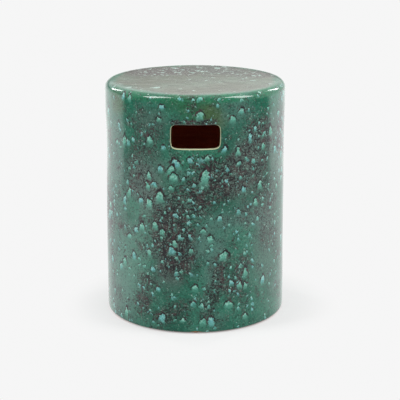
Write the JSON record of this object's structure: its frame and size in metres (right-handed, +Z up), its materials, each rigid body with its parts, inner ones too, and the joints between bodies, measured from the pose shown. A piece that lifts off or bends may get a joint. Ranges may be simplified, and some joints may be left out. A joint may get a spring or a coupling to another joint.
{
  "type": "drum stool",
  "caption": "Hollow glazed ceramic drum stool with a flat round seat, a rounded hand hole in front and behind, and small pads under its open foot.",
  "frame": {"origin": "on the floor, on the axis of the drum", "axes": "+Z up along the axis of the drum, -Y out of the front hand hole, +X to the right as seen from the front"},
  "size_m": [0.3454, 0.3452, 0.45],
  "materials": {
    "clay": "bare fired clay, matt",
    "glaze": "glossy green reactive glaze with dark speckle and turquoise drips",
    "felt": "tan felt"
  },
  "bodies": {
    "root": {"drum_wall": "clay", "seat_slab": "clay", "seat_coil": "clay", "glaze_coat": "glaze", "floor_pad_1": "felt", "floor_pad_2": "felt", "floor_pad_3": "felt", "floor_pad_4": "felt", "floor_pad_5": "felt", "floor_pad_6": "felt"}
  },
  "joints": []
}
